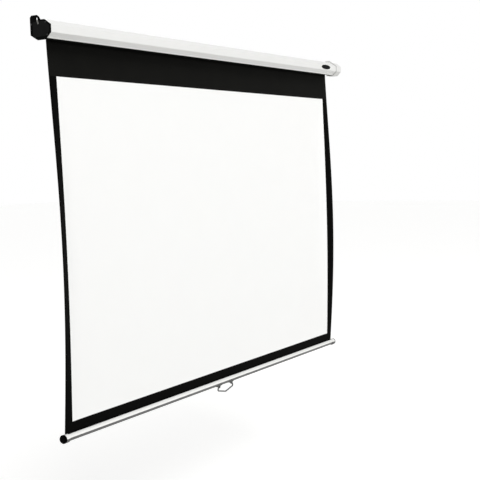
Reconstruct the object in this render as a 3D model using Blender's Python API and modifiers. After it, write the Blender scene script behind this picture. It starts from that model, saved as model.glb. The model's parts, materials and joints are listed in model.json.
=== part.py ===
"""Pull-down projection screen: a spring roller in a faceted wall case, with a weighted bar and a wire pull.

X runs along the case and Z is up. The wall is the plane Y = 0 and the room lies at -Y. The origin is on
the case's flat back, behind the middle of the cloth and half way up the left cap's section, without its
ear. The screen is drawn fully down.
"""
import math

import bmesh
import bpy
from mathutils import Vector

# Cloth and the picture printed on it, in metres
VIEW_WIDTH = 1.809
VIEW_HEIGHT = 1.131
BORDER = 0.0375
TOP_DROP = 0.106
CLOTH = 0.00045
WOUND_TURNS = 2
WRAP_GAP = 0.0002
CURL_DEPTH = 0.028
CURL_WIDTH = 0.118

# Gap that pieces keep where they touch, and where they turn or slide
SEAT = 0.0003
RUNNING = 0.0003

# Case section
CASE_DEPTH = 0.085
CASE_HEIGHT = 0.062
UPPER_CHAMFER_DEPTH = 0.0255
UPPER_CHAMFER_RISE = 0.0172
LOWER_CHAMFER_DEPTH = 0.024
LOWER_CHAMFER_RISE = 0.021
REAR_CHAMFER_DEPTH = 0.029
REAR_CHAMFER_RISE = 0.017
CASE_WALL = 0.0016
CASE_CORNER = 0.0022
SHELL_LIFT = 0.0045
FRONT_LIP = 0.0065
LIP_RISE = 0.0035
REAR_LIP = 0.007
PORT_RADIUS = 0.0036
PORT_BORE = 0.0022
PORT_MOUTH = 0.0022

# Room between the cloth's side edges and the caps: the ratchet's end needs more than the idler's
RATCHET_SPACE = 0.0425
IDLER_SPACE = 0.031

# Moulded end caps
CAP_PLATE = 0.004
CAP_CORNER = 0.0022
CAP_EDGE = 0.0008
EAR_RISE = 0.0155
EAR_TOP = 0.0285
EAR_SHOULDER = 0.036
EAR_FOOT = 0.0428
EAR_SLOPE_DROP = 0.005
EAR_CORNER = 0.006
EYELET_WIDTH = 0.0064
EYELET_LENGTH = 0.0233
EYELET_TOP = 0.0072
EYELET_FROM_WALL = 0.027
EYELET_LEAN = math.radians(18)
EYELET_POCKET = 0.0025
EYELET_RIM = 0.0004
EYELET_FLOOR = 0.0008
LINER_THICKNESS = 0.0012
TAB_LENGTH = 0.010
TAB_THICKNESS = 0.002
RIB_THICKNESS = 0.0016
RIB_HEIGHT = 0.006
BOSS_RADIUS = 0.011
RATCHET_BOSS = 0.0135
IDLER_BOSS = 0.0085
SLEEVE_LENGTH = 0.043
SLEEVE_WALL = 0.0015
SLEEVE_STEP = 0.0002

# Self-tapping screws that hold the caps
SCREW_RADIUS = 0.0018
SCREW_LENGTH = 0.016
SCREW_HEAD_RADIUS = 0.0034
SCREW_HEAD = 0.0022
SCREW_CROSS = 0.0008
SCREW_TURN = math.radians(17)

# Spring roller
ROLLER_RADIUS = 0.0206
ROLLER_WALL = 0.0012
ROLLER_OVERHANG = 0.0135
PLUG_FLANGE = 0.004
PLUG_SPIGOT = 0.025
SPINDLE_RADIUS = 0.004
SPINDLE_LENGTH = 0.300
SPINDLE_TONGUE = 0.008
TONGUE_THICKNESS = 0.0045
SPINDLE_COLLAR = 0.0065
SPRING_RADIUS = 0.0115
SPRING_WIRE = 0.0012
SPRING_TURNS = 30
HUB_RADIUS = 0.009
HUB_LENGTH = 0.012
ANCHOR_RADIUS = 0.0145
ANCHOR_LENGTH = 0.012
ANCHOR_FROM_TIP = 0.010
IDLER_LENGTH = 0.036
BUSH_WALL = 0.002
BUSH_LENGTH = 0.020
BUSH_FLANGE = 0.0015

# Ratchet and its two pawls
RATCHET_RADIUS = 0.013
RATCHET_ROOT = 0.0098
RATCHET_TEETH = 4
RATCHET_THICKNESS = 0.006
PAWL_PIVOT = 0.0175
PAWL_REACH = 0.013
PAWL_LIFT = 0.0006
PAWL_BITE = 0.0008
PAWL_THICKNESS = 0.005
PAWL_WIDTH = 0.0032
PAWL_EYE = 0.0031
PAWL_PIN = 0.0014
PAWL_PIN_HEAD = 0.0024
PAWL_STOP = 0.0014

# Weighted bar along the cloth's lower edge
BAR_RADIUS = 0.012
BAR_WALL = 0.0015
BAR_SLIT = 0.0024
BAR_OVERHANG_LEFT = 0.004
BAR_OVERHANG_RIGHT = 0.0185
HEM_ROD = 0.003
BAR_CAP_RADIUS = 0.0148
BAR_CAP_PLATE = 0.0058
BAR_CAP_SLEEVE = 0.016
BAR_CAP_SPIGOT = 0.025
BAR_CAP_ROUND = 0.0008
BAR_PLUG_RADIUS = 0.0122
BAR_PLUG_THICKNESS = 0.0034
BAR_PLUG_STEM = 0.004
BAR_PLUG_REACH = 0.0042
CLOSED_GAP = 0.002

# Wire pull and the lugs that it swings in
PULL_SPREAD = 0.045
PULL_CORNER = 0.0555
PULL_SHOULDER = 0.0135
PULL_DROP = 0.0266
PULL_WIRE = 0.003
PULL_BEND = 0.005
PULL_END = 0.006
LUG_ANGLE = math.radians(20)
LUG_TAB = 0.0025
LUG_SADDLE = 0.0015
LUG_SPREAD = math.radians(32)
LUG_LENGTH = 0.028
LUG_EDGE = 0.0018
RIVET_RADIUS = 0.0012
RIVET_HEAD = 0.0024

# Places worked out from the sizes above
CLOTH_HALF = VIEW_WIDTH / 2 + BORDER
CAP_INNER = {-1: CLOTH_HALF + RATCHET_SPACE, 1: CLOTH_HALF + IDLER_SPACE}
CAP_OUTER = {side: inner + CAP_PLATE for side, inner in CAP_INNER.items()}
BOSS_END = {-1: CAP_INNER[-1] - RATCHET_BOSS, 1: CAP_INNER[1] - IDLER_BOSS}
CASE_TOP = CASE_HEIGHT / 2
CASE_BOTTOM = -CASE_HEIGHT / 2
SHELL_BOTTOM = CASE_BOTTOM + SHELL_LIFT
ROLLER_Y = -CASE_DEPTH / 2
WRAP_PITCH = CLOTH + WRAP_GAP
WRAP_START = ROLLER_RADIUS + SEAT + CLOTH / 2
CLOTH_Y = ROLLER_Y + WRAP_START + WOUND_TURNS * WRAP_PITCH + CLOTH + SEAT
SLOT_REAR = CASE_BOTTOM + REAR_CHAMFER_RISE
BAR_TOP = CASE_BOTTOM - TOP_DROP - VIEW_HEIGHT - BORDER
BAR_Z = BAR_TOP - BAR_RADIUS
BAR_END = {-1: CLOTH_HALF + BAR_OVERHANG_LEFT, 1: CLOTH_HALF + BAR_OVERHANG_RIGHT}
HEM_Z = BAR_TOP - BAR_WALL - SEAT - HEM_ROD
BAR_CLOSED_Z = CASE_BOTTOM - CLOSED_GAP - BAR_CAP_RADIUS
DROP_TRAVEL = BAR_CLOSED_Z - BAR_Z
ROLLER_HALF = CLOTH_HALF + ROLLER_OVERHANG
PLUG_FACE = ROLLER_HALF + SEAT + PLUG_FLANGE
RATCHET_PLACE = PLUG_FACE + RUNNING
PULL_RADIUS = BAR_RADIUS + SEAT + LUG_SADDLE + SEAT + PULL_WIRE
PULL_Y = CLOTH_Y - PULL_RADIUS * math.sin(LUG_ANGLE)
PULL_Z = BAR_Z - PULL_RADIUS * math.cos(LUG_ANGLE)

ALONG_X = (math.pi / 2, 0, math.pi / 2)
TURNED_X = (0, math.pi / 2, 0)


def clear_scene():
    for old in list(bpy.data.objects):
        bpy.data.objects.remove(old, do_unlink=True)


def new_collection(name):
    made = bpy.data.collections.new(name)
    bpy.context.scene.collection.children.link(made)
    return made


def new_material(name, colour, roughness, metallic=0.0):
    material = bpy.data.materials.new(name)
    material.use_nodes = True
    shader = material.node_tree.nodes["Principled BSDF"]
    shader.inputs["Base Color"].default_value = (*colour, 1.0)
    shader.inputs["Roughness"].default_value = roughness
    shader.inputs["Metallic"].default_value = metallic
    return material


def weld(mesh):
    """Joins the loose caps that a curve or a turned profile leaves, and points every face outwards."""
    work = bmesh.new()
    work.from_mesh(mesh)
    bmesh.ops.remove_doubles(work, verts=work.verts, dist=0.000002)
    bmesh.ops.recalc_face_normals(work, faces=work.faces)
    work.to_mesh(mesh)
    work.free()
    mesh.shade_smooth()
    mesh.set_sharp_from_angle(angle=math.radians(32))
    return mesh


def mesh_of(source):
    """Takes the mesh that a curve or a modifier makes, and removes the object that it came from."""
    bpy.context.view_layer.update()
    depsgraph = bpy.context.evaluated_depsgraph_get()
    mesh = bpy.data.meshes.new_from_object(source.evaluated_get(depsgraph))
    bpy.data.objects.remove(source, do_unlink=True)
    return weld(mesh)


def prism_mesh(outlines, length):
    """A flat outline, with its holes, drawn out to a length that is centred on its own plane."""
    flat = bpy.data.curves.new("outline", "CURVE")
    flat.dimensions = "2D"
    flat.fill_mode = "BOTH"
    flat.extrude = length / 2
    for outline in outlines:
        spline = flat.splines.new("POLY")
        spline.points.add(len(outline) - 1)
        for point, (u, v) in zip(spline.points, outline):
            point.co = (u, v, 0, 1)
        spline.use_cyclic_u = True
    holder = bpy.data.objects.new("outline", flat)
    bpy.context.scene.collection.objects.link(holder)
    return mesh_of(holder)


def turned_mesh(profile, steps=24):
    """A profile of (radius, height) turned about Z. It runs down its outer side from the top."""
    section = bpy.data.meshes.new("profile")
    count = len(profile)
    on_axis = profile[0][0] == 0 and profile[-1][0] == 0
    edges = [(i, i + 1) for i in range(count - 1)]
    if not on_axis:
        edges.append((count - 1, 0))
    section.from_pydata([(radius, 0, height) for radius, height in profile], edges, [])
    holder = bpy.data.objects.new("profile", section)
    bpy.context.scene.collection.objects.link(holder)
    screw = holder.modifiers.new("turn", "SCREW")
    screw.steps = steps
    screw.render_steps = steps
    screw.use_merge_vertices = True
    screw.merge_threshold = 0.00001
    return mesh_of(holder)


def wire_mesh(points, radius, resolution=2):
    """A round wire along points, with closed ends."""
    wire = bpy.data.curves.new("wire", "CURVE")
    wire.dimensions = "3D"
    wire.bevel_depth = radius
    wire.bevel_resolution = resolution
    wire.use_fill_caps = True
    spline = wire.splines.new("POLY")
    spline.points.add(len(points) - 1)
    for point, place in zip(spline.points, points):
        point.co = (*place, 1)
    holder = bpy.data.objects.new("wire", wire)
    bpy.context.scene.collection.objects.link(holder)
    return mesh_of(holder)


def block_mesh(low, high):
    work = bmesh.new()
    bmesh.ops.create_cube(work, size=1)
    for vertex in work.verts:
        for axis in range(3):
            middle = (low[axis] + high[axis]) / 2
            vertex.co[axis] = middle + vertex.co[axis] * (high[axis] - low[axis])
    mesh = bpy.data.meshes.new("block")
    work.to_mesh(mesh)
    work.free()
    return mesh


def place(name, mesh, material, location=(0, 0, 0), rotation=(0, 0, 0), parent=None):
    made = bpy.data.objects.new(name, mesh)
    made.location = location
    made.rotation_euler = rotation
    if material:
        mesh.materials.clear()
        mesh.materials.append(material)
        PARTS.objects.link(made)
    else:
        made.hide_render = True
        made.display_type = "WIRE"
        CUTTERS.objects.link(made)
    made.parent = parent
    return made


def boolean(target, tool, operation):
    step = target.modifiers.new(tool.name, "BOOLEAN")
    step.operation = operation
    step.object = tool
    step.solver = "EXACT"
    return step


def cut(target, mesh, location=(0, 0, 0), rotation=(0, 0, 0)):
    tool = place(f"{target.name}_cut", mesh, None, location, rotation, target.parent)
    return boolean(target, tool, "DIFFERENCE")


def join(target, mesh, location=(0, 0, 0), rotation=(0, 0, 0)):
    tool = place(f"{target.name}_add", mesh, None, location, rotation, target.parent)
    return boolean(target, tool, "UNION")


def empty(name, location):
    made = bpy.data.objects.new(name, None)
    made.location = location
    made.empty_display_size = 0.02
    PARTS.objects.link(made)
    return made


def arc(centre, radius, start, end, steps):
    """Points along an arc, both ends included."""
    turn = (end - start) / steps
    return [
        (centre[0] + radius * math.cos(start + turn * i), centre[1] + radius * math.sin(start + turn * i))
        for i in range(steps + 1)
    ]


def circle(centre, radius, steps=24, start=0.0):
    return arc(centre, radius, start, start + 2 * math.pi, steps)[:-1]


def rounded(points, radius, closed=True, steps=3):
    """An outline with its corners rounded, each by no more than its own two sides allow."""
    made = []
    count = len(points)
    for i, corner in enumerate(points):
        if not closed and i in (0, count - 1):
            made.append(corner)
            continue
        here = Vector(corner)
        back = Vector(points[i - 1]) - here
        ahead = Vector(points[(i + 1) % count]) - here
        half = back.angle(ahead) / 2
        run = min(radius / math.tan(half), 0.45 * back.length, 0.45 * ahead.length)
        bend = run * math.tan(half)
        middle = here + (back.normalized() + ahead.normalized()).normalized() * (bend / math.sin(half))
        first = here + back.normalized() * run - middle
        last = here + ahead.normalized() * run - middle
        turn = math.atan2(first.x * last.y - first.y * last.x, first.dot(last))
        begin = math.atan2(first.y, first.x)
        made.extend(arc(middle, bend, begin, begin + turn, steps))
    return made


def offset(points, distance):
    """A copy of an open outline, moved to its left by a distance, with its corners mitred."""
    made = []
    for i, point in enumerate(points):
        sides = []
        if i > 0:
            sides.append(Vector(point) - Vector(points[i - 1]))
        if i < len(points) - 1:
            sides.append(Vector(points[i + 1]) - Vector(point))
        normals = [Vector((-side.y, side.x)).normalized() for side in sides]
        mitre = (normals[0] + normals[-1]).normalized()
        shift = mitre * (distance / mitre.dot(normals[0]))
        made.append((point[0] + shift.x, point[1] + shift.y))
    return made


def chamfer_foot(height):
    """The Y at which the lower front chamfer comes down to a height."""
    share = (CASE_BOTTOM + LOWER_CHAMFER_RISE - height) / LOWER_CHAMFER_RISE
    return -CASE_DEPTH + LOWER_CHAMFER_DEPTH * share


def case_line():
    """The case's outer line, from the slot's front lip round the front and top to the foot of its back."""
    front = -CASE_DEPTH
    foot = chamfer_foot(SHELL_BOTTOM)
    return [
        (foot + FRONT_LIP, SHELL_BOTTOM),
        (foot, SHELL_BOTTOM),
        (front, CASE_BOTTOM + LOWER_CHAMFER_RISE),
        (front, CASE_TOP - UPPER_CHAMFER_RISE),
        (front + UPPER_CHAMFER_DEPTH, CASE_TOP),
        (0, CASE_TOP),
        (0, SLOT_REAR),
    ]


def port_places():
    """Centres of the three screw ports: inside both front chamfers, and on the back wall."""
    line = case_line()
    depth = PORT_RADIUS + CASE_WALL - SEAT
    places = []
    for first, last in ((line[1], line[2]), (line[4], line[3])):
        start = Vector(first)
        side = (Vector(last) - start).normalized()
        inward = Vector((side.y, -side.x))
        if inward.x < 0:
            inward = -inward
        places.append(start + side * 0.0088 + inward * depth)
    places.append(Vector((-depth, CASE_TOP - 0.0114)))
    return places


def make_case(material):
    outer = rounded(case_line(), CASE_CORNER, closed=False)
    inner = offset(outer, -CASE_WALL)
    slot_front = outer[0][0]
    lip = [
        (slot_front - CASE_WALL, SHELL_BOTTOM + CASE_WALL),
        (slot_front - CASE_WALL, SHELL_BOTTOM + LIP_RISE),
        (slot_front, SHELL_BOTTOM + LIP_RISE),
    ]
    rear = [
        (-REAR_LIP, SLOT_REAR),
        (-REAR_LIP, SLOT_REAR + CASE_WALL),
        (-CASE_WALL, SLOT_REAR + CASE_WALL),
    ]
    outline = outer + rear + inner[-2:0:-1] + lip
    length = CAP_INNER[-1] + CAP_INNER[1] - 2 * SEAT
    middle = ((CAP_INNER[1] - CAP_INNER[-1]) / 2, 0, 0)
    case = place("case_shell", prism_mesh([outline], length), material, middle, ALONG_X)
    for centre in port_places():
        towards = math.atan2(-centre.y, ROLLER_Y - centre.x)
        mouth = PORT_MOUTH / 2
        outer_gap = math.asin(mouth / PORT_RADIUS)
        inner_gap = math.asin(mouth / PORT_BORE)
        ring = arc(centre, PORT_RADIUS, towards + outer_gap, towards + 2 * math.pi - outer_gap, 14)
        ring += arc(centre, PORT_BORE, towards + 2 * math.pi - inner_gap, towards + inner_gap, 10)
        join(case, prism_mesh([ring], length - 4 * SEAT), middle, ALONG_X)
    return case


def cap_line(proud, foot):
    """An end cap's outline. The closed rear chamfer and the ear are its own, the rest is the case's."""
    front = -CASE_DEPTH - proud
    top = CASE_TOP + proud
    bottom = foot - proud
    mitre = proud * 0.4
    ear = CASE_TOP + EAR_RISE
    return [
        (-REAR_CHAMFER_DEPTH, bottom),
        (chamfer_foot(foot) - proud + mitre, bottom),
        (front, CASE_BOTTOM + LOWER_CHAMFER_RISE - mitre),
        (front, CASE_TOP - UPPER_CHAMFER_RISE + mitre),
        (front + UPPER_CHAMFER_DEPTH + mitre, top),
        (-EAR_FOOT, top),
        (-EAR_SHOULDER, ear - EAR_SLOPE_DROP),
        (-EAR_TOP, ear),
        (-EAR_CORNER, ear),
        (0, ear - EAR_CORNER),
        (0, SLOT_REAR - proud),
    ]


def make_end_cap(name, side, proud, foot, socket, material):
    """A moulded cap: plate, ear with its eyelet, locating tabs, ribs and the roller's socket."""
    inner_face = CAP_INNER[side]
    outer_face = CAP_OUTER[side]
    plate_middle = side * (inner_face + outer_face) / 2
    line = rounded(cap_line(proud, foot), CAP_CORNER)
    plate = prism_mesh([line], CAP_PLATE)
    cap = place(name, plate, material, (plate_middle, 0, 0), ALONG_X)
    edge = cap.modifiers.new("soft_edge", "BEVEL")
    edge.width = CAP_EDGE
    edge.segments = 2
    edge.limit_method = "ANGLE"
    edge.angle_limit = math.radians(60)

    def along(near, far):
        """The two X values of a stretch that starts and ends at these distances from the middle."""
        return sorted((side * near, side * far))

    reach = CASE_WALL + SEAT
    tabs = [
        ((-CASE_DEPTH + reach, -0.007), (-CASE_DEPTH + reach + TAB_THICKNESS, 0.0105)),
        ((-0.052, CASE_TOP - reach - TAB_THICKNESS), (-0.014, CASE_TOP - reach)),
        ((-reach - TAB_THICKNESS, -0.009), (-reach, 0.012)),
    ]
    for (y_low, z_low), (y_high, z_high) in tabs:
        x_low, x_high = along(inner_face - TAB_LENGTH, inner_face + CAP_PLATE / 2)
        join(cap, block_mesh((x_low, y_low, z_low), (x_high, y_high, z_high)))

    boss_depth = inner_face - BOSS_END[side] + CAP_PLATE / 2
    boss = [(0, 0), (BOSS_RADIUS, 0), (BOSS_RADIUS, -boss_depth), (0, -boss_depth)]
    turn = TURNED_X if side > 0 else (0, -math.pi / 2, 0)
    join(cap, turned_mesh(boss), (side * (inner_face + CAP_PLATE / 2), ROLLER_Y, 0), turn)
    x_low, x_high = along(inner_face - RIB_HEIGHT, inner_face + CAP_PLATE / 2)
    half = RIB_THICKNESS / 2
    front_reach = -CASE_DEPTH + reach + TAB_THICKNESS / 2
    rear_reach = -reach - TAB_THICKNESS / 2
    top_reach = CASE_TOP - reach - TAB_THICKNESS / 2
    bottom_reach = SHELL_BOTTOM + reach
    join(cap, block_mesh((x_low, front_reach, -half), (x_high, ROLLER_Y - BOSS_RADIUS * 0.7, half)))
    join(cap, block_mesh((x_low, ROLLER_Y + BOSS_RADIUS * 0.7, -half), (x_high, rear_reach, half)))
    join(cap, block_mesh((x_low, ROLLER_Y - half, BOSS_RADIUS * 0.7), (x_high, ROLLER_Y + half, top_reach)))
    join(cap, block_mesh((x_low, ROLLER_Y - half, bottom_reach), (x_high, ROLLER_Y + half, -BOSS_RADIUS * 0.7)))

    if proud:
        wrap = rounded(case_line()[:6], CASE_CORNER, closed=False)
        wrap[0] = (-REAR_CHAMFER_DEPTH - CAP_CORNER, SHELL_BOTTOM)
        wrap[-1] = (-CAP_EDGE, CASE_TOP)
        sleeve = offset(wrap, SEAT) + offset(wrap, proud - SLEEVE_STEP)[::-1]
        x_low, x_high = along(inner_face - SLEEVE_LENGTH, outer_face - 1.5 * CAP_EDGE)
        join(cap, prism_mesh([sleeve], x_high - x_low), ((x_low + x_high) / 2, 0, 0), ALONG_X)

    cut_socket(cap, side, socket)
    cut_eyelet(cap, side, proud)
    for centre in port_places():
        bore = [
            (0, CAP_PLATE),
            (SCREW_HEAD_RADIUS + SEAT, CAP_PLATE),
            (SCREW_HEAD_RADIUS + SEAT, CAP_PLATE / 2 - SCREW_HEAD),
            (SCREW_RADIUS + SEAT, CAP_PLATE / 2 - SCREW_HEAD),
            (SCREW_RADIUS + SEAT, -CAP_PLATE),
            (0, -CAP_PLATE),
        ]
        cut(cap, turned_mesh(bore, 16), (plate_middle, centre.x, centre.y), turn)
    return cap


def cut_socket(cap, side, socket):
    """The hole that holds the roller's fixed end: a slot for a flat tongue, or a round bore."""
    depth = SPINDLE_TONGUE + SEAT
    x_low, x_high = sorted((side * (BOSS_END[side] - 0.001), side * (BOSS_END[side] + depth)))
    if socket == "slot":
        wide = SPINDLE_RADIUS + SEAT
        thin = TONGUE_THICKNESS / 2 + SEAT
        cut(cap, block_mesh((x_low, ROLLER_Y - thin, -wide), (x_high, ROLLER_Y + thin, wide)))
    else:
        outline = circle((0, 0), SPINDLE_RADIUS + SEAT, 24, math.radians(6))
        cut(cap, prism_mesh([outline], x_high - x_low), ((x_low + x_high) / 2, ROLLER_Y, 0), ALONG_X)


def lean(point):
    """Turns a point of the upright eyelet to the eyelet's lean, and moves it to its place in the ear."""
    y, z = rotate_point(point, -EYELET_LEAN)
    return (y - EYELET_FROM_WALL, z + CASE_TOP + EAR_RISE - EYELET_TOP)


def eyelet_floor(across, proud, below=0.0):
    """A point on the level edge at which the eyelet stops being open, just over the case's end."""
    floor = CASE_TOP + SEAT + proud / 2 + EYELET_FLOOR
    depth = (CASE_TOP + EAR_RISE - EYELET_TOP - floor) / math.cos(EYELET_LEAN)
    return (across, across * math.tan(EYELET_LEAN) - depth - below)


def cut_eyelet(cap, side, proud):
    """The hanging eyelet: open through the ear, and a blind pocket where it runs down over the case."""
    half = EYELET_WIDTH / 2
    spot = (side * CAP_OUTER[side], 0, 0)
    pocket = arc((0, -half), half + EYELET_RIM, 0, math.pi, 8)
    pocket += arc((0, half - EYELET_LENGTH), half + EYELET_RIM, math.pi, 2 * math.pi, 8)
    cut(cap, prism_mesh([[lean(point) for point in pocket]], 2 * EYELET_POCKET), spot, ALONG_X)
    through = arc((0, -half), half, 0, math.pi, 8)
    through += [eyelet_floor(-half, proud), eyelet_floor(half, proud)]
    cut(cap, prism_mesh([[lean(point) for point in through]], 4 * CAP_PLATE), spot, ALONG_X)


def make_liner(name, side, proud, material):
    """The steel plate in the eyelet's blind pocket, just under the part that is open."""
    half = EYELET_WIDTH / 2 + EYELET_RIM - SEAT
    line = [eyelet_floor(half, proud, SEAT), eyelet_floor(-half, proud, SEAT)]
    line += arc((0, EYELET_WIDTH / 2 - EYELET_LENGTH), half, math.pi, 2 * math.pi, 8)
    outline = [lean(point) for point in line]
    middle = side * (CAP_OUTER[side] - EYELET_POCKET + SEAT + LINER_THICKNESS / 2)
    return place(name, prism_mesh([outline], LINER_THICKNESS), material, (middle, 0, 0), ALONG_X)


def rotate_point(point, angle):
    c, s = math.cos(angle), math.sin(angle)
    return (point[0] * c - point[1] * s, point[0] * s + point[1] * c)


def make_screw(name, side, centre, material):
    """A pan-head self-tapping screw with a cross recess, its head sunk in the cap's counterbore."""
    head_floor = CAP_OUTER[side] - SCREW_HEAD
    profile = [
        (0, SCREW_HEAD - SEAT),
        (SCREW_HEAD_RADIUS * 0.62, SCREW_HEAD - SEAT),
        (SCREW_HEAD_RADIUS, SCREW_HEAD * 0.45),
        (SCREW_HEAD_RADIUS, SEAT),
        (SCREW_RADIUS, SEAT),
        (SCREW_RADIUS, SEAT - SCREW_LENGTH),
        (SCREW_RADIUS * 0.3, SEAT - SCREW_LENGTH - SCREW_RADIUS),
        (0, SEAT - SCREW_LENGTH - SCREW_RADIUS),
    ]
    turn = TURNED_X if side > 0 else (0, -math.pi / 2, 0)
    spot = (side * head_floor, centre.x, centre.y)
    screw = place(name, turned_mesh(profile, 16), material, spot, turn)
    half = SCREW_CROSS / 2
    arm = SCREW_HEAD_RADIUS * 0.55
    floor = SCREW_HEAD * 0.4
    cross = [(half, half), (half, arm), (-half, arm), (-half, half), (-arm, half), (-arm, -half)]
    cross += [(-half, -half), (-half, -arm), (half, -arm), (half, -half), (arm, -half), (arm, half)]
    cross = [rotate_point(point, SCREW_TURN) for point in cross]
    deep = SCREW_HEAD
    x_middle = side * (head_floor + floor + deep / 2)
    cut(screw, prism_mesh([cross], deep), (x_middle, centre.x, centre.y), ALONG_X)
    return screw


def spindle_ends():
    """How far the spindle's outer and inner ends are from the middle of the cloth."""
    tip = BOSS_END[-1] + SPINDLE_TONGUE
    return tip, tip - SPINDLE_LENGTH


def make_spindle(material):
    """The fixed steel spindle: a flat tongue in the left cap, a collar, and a rod inside the roller."""
    collar_start = BOSS_END[-1] - SEAT
    collar_end = RATCHET_PLACE + RATCHET_THICKNESS + SEAT
    tip, far = spindle_ends()
    profile = [
        (0, -far),
        (SPINDLE_RADIUS, -far),
        (SPINDLE_RADIUS, -collar_end),
        (SPINDLE_COLLAR, -collar_end),
        (SPINDLE_COLLAR, -collar_start),
        (SPINDLE_RADIUS, -collar_start),
        (SPINDLE_RADIUS, -tip),
        (0, -tip),
    ]
    spindle = place("spindle", turned_mesh(profile), material, (0, ROLLER_Y, 0), TURNED_X)
    for way in (-1, 1):
        y_near = ROLLER_Y + way * TONGUE_THICKNESS / 2
        y_far = ROLLER_Y + way * SPINDLE_RADIUS * 2
        low = (-tip - 0.001, min(y_near, y_far), -SPINDLE_RADIUS * 2)
        high = (-collar_start - SEAT, max(y_near, y_far), SPINDLE_RADIUS * 2)
        cut(spindle, block_mesh(low, high))
    return spindle


def pawl_angles():
    """Where the pawl's tip lies from its pivot, seen from the roller's centre, lifted and let in."""
    found = []
    for tip in (RATCHET_RADIUS + PAWL_LIFT, RATCHET_ROOT + PAWL_BITE):
        x = (tip ** 2 - PAWL_REACH ** 2 + PAWL_PIVOT ** 2) / (2 * PAWL_PIVOT)
        y = math.sqrt(tip ** 2 - x ** 2)
        found.append((math.atan2(y, x), math.atan2(y, x - PAWL_PIVOT)))
    return found


def ratchet_line():
    """Ratchet teeth: a round land, a curved ramp down to the root, and a square locking face."""
    (_, _), (tip_angle, _) = pawl_angles()
    pitch = 2 * math.pi / RATCHET_TEETH
    face = tip_angle + math.radians(3)
    ramp = face - math.radians(9)
    points = []
    for tooth in range(RATCHET_TEETH):
        base = math.pi / 2 - tip_angle + tooth * pitch
        for i in range(9):
            share = 1 - i / 8
            radius = RATCHET_ROOT + (RATCHET_RADIUS - RATCHET_ROOT) * share ** 1.4
            angle = base + face - ramp * share
            points.append((radius * math.cos(angle), radius * math.sin(angle)))
        points.extend(arc((0, 0), RATCHET_RADIUS, base + face, base + face - ramp + pitch, 6)[:-1])
    return points


def make_ratchet(material):
    bore = circle((0, 0), SPINDLE_RADIUS + SEAT)
    mesh = prism_mesh([ratchet_line(), bore], RATCHET_THICKNESS)
    middle = -(RATCHET_PLACE + RATCHET_THICKNESS / 2)
    return place("ratchet_disc", mesh, material, (middle, ROLLER_Y, 0), ALONG_X)


def pawl_line(direction):
    """A pawl about its pivot: a round eye, and an arm that thins to a blunt tip."""
    along = Vector((math.cos(direction), math.sin(direction)))
    across = Vector((along.y, -along.x))
    shape = [
        (PAWL_REACH, 0),
        (PAWL_REACH - 0.0008, PAWL_WIDTH),
        (PAWL_REACH * 0.55, PAWL_WIDTH * 1.15),
    ]
    shape += arc((0, 0), PAWL_EYE, 1.3, 2 * math.pi - 0.5, 12)
    shape += [(PAWL_REACH * 0.45, 0)]
    return [tuple(along * u + across * v) for u, v in shape]


def make_pawl(name, start, parent, material):
    """One pawl, lifted clear of the ratchet. Its origin is on its pin."""
    (_, lifted), (tip_angle, _) = pawl_angles()
    pivot_angle = math.pi / 2 - tip_angle + start
    outline = pawl_line(lifted + pivot_angle)
    hole = circle((0, 0), PAWL_PIN + RUNNING, 16)
    x_middle = -(RATCHET_PLACE + PAWL_THICKNESS / 2)
    spot = (x_middle, PAWL_PIVOT * math.cos(pivot_angle), PAWL_PIVOT * math.sin(pivot_angle))
    return place(name, prism_mesh([outline, hole], PAWL_THICKNESS), material, spot, ALONG_X, parent)


def make_pawl_pin(name, start, parent, material):
    """A headed pin, sunk in the roller's plug, that one pawl turns on."""
    (_, _), (tip_angle, _) = pawl_angles()
    pivot_angle = math.pi / 2 - tip_angle + start
    grip = PAWL_THICKNESS + 2 * RUNNING
    profile = [
        (0, grip + PAWL_PIN),
        (PAWL_PIN_HEAD, grip + PAWL_PIN),
        (PAWL_PIN_HEAD, grip),
        (PAWL_PIN, grip),
        (PAWL_PIN, -PLUG_FLANGE * 0.8),
        (0, -PLUG_FLANGE * 0.8),
    ]
    spot = (-PLUG_FACE, PAWL_PIVOT * math.cos(pivot_angle), PAWL_PIVOT * math.sin(pivot_angle))
    return place(name, turned_mesh(profile, 16), material, spot, (0, -math.pi / 2, 0), parent)


def make_plug_left(parent, material):
    """The ratchet end's plug: flange, spigot in the tube, the spring's hub, pin holes and pawl stops."""
    inner = ROLLER_RADIUS - ROLLER_WALL - SEAT
    bore = SPINDLE_RADIUS + RUNNING
    flange = PLUG_FLANGE
    profile = [
        (bore, flange),
        (ROLLER_RADIUS - SEAT, flange),
        (ROLLER_RADIUS - SEAT, 0),
        (inner, 0),
        (inner, -PLUG_SPIGOT),
        (HUB_RADIUS, -PLUG_SPIGOT),
        (HUB_RADIUS, -PLUG_SPIGOT - HUB_LENGTH),
        (bore, -PLUG_SPIGOT - HUB_LENGTH),
    ]
    spot = (flange - PLUG_FACE, 0, 0)
    plug = place("roller_plug_left", turned_mesh(profile, 32), material, spot, (0, -math.pi / 2, 0), parent)
    (_, lifted), (tip_angle, _) = pawl_angles()
    for start in (0, math.pi):
        pivot_angle = math.pi / 2 - tip_angle + start
        y, z = PAWL_PIVOT * math.cos(pivot_angle), PAWL_PIVOT * math.sin(pivot_angle)
        hole = circle((0, 0), PAWL_PIN + SEAT, 16)
        cut(plug, prism_mesh([hole], 1.8 * PLUG_FLANGE), (-PLUG_FACE, y, z), ALONG_X)
        beside = (PAWL_REACH * 0.75, -1.1 * PAWL_WIDTH - SEAT - PAWL_STOP)
        y_off, z_off = rotate_point(beside, lifted + pivot_angle)
        post = circle((0, 0), PAWL_STOP, 12)
        length = PAWL_THICKNESS + PLUG_FLANGE / 2
        x_middle = -PLUG_FACE - PAWL_THICKNESS + length / 2
        join(plug, prism_mesh([post], length), (x_middle, y + y_off, z + z_off), ALONG_X)
    return plug


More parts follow.
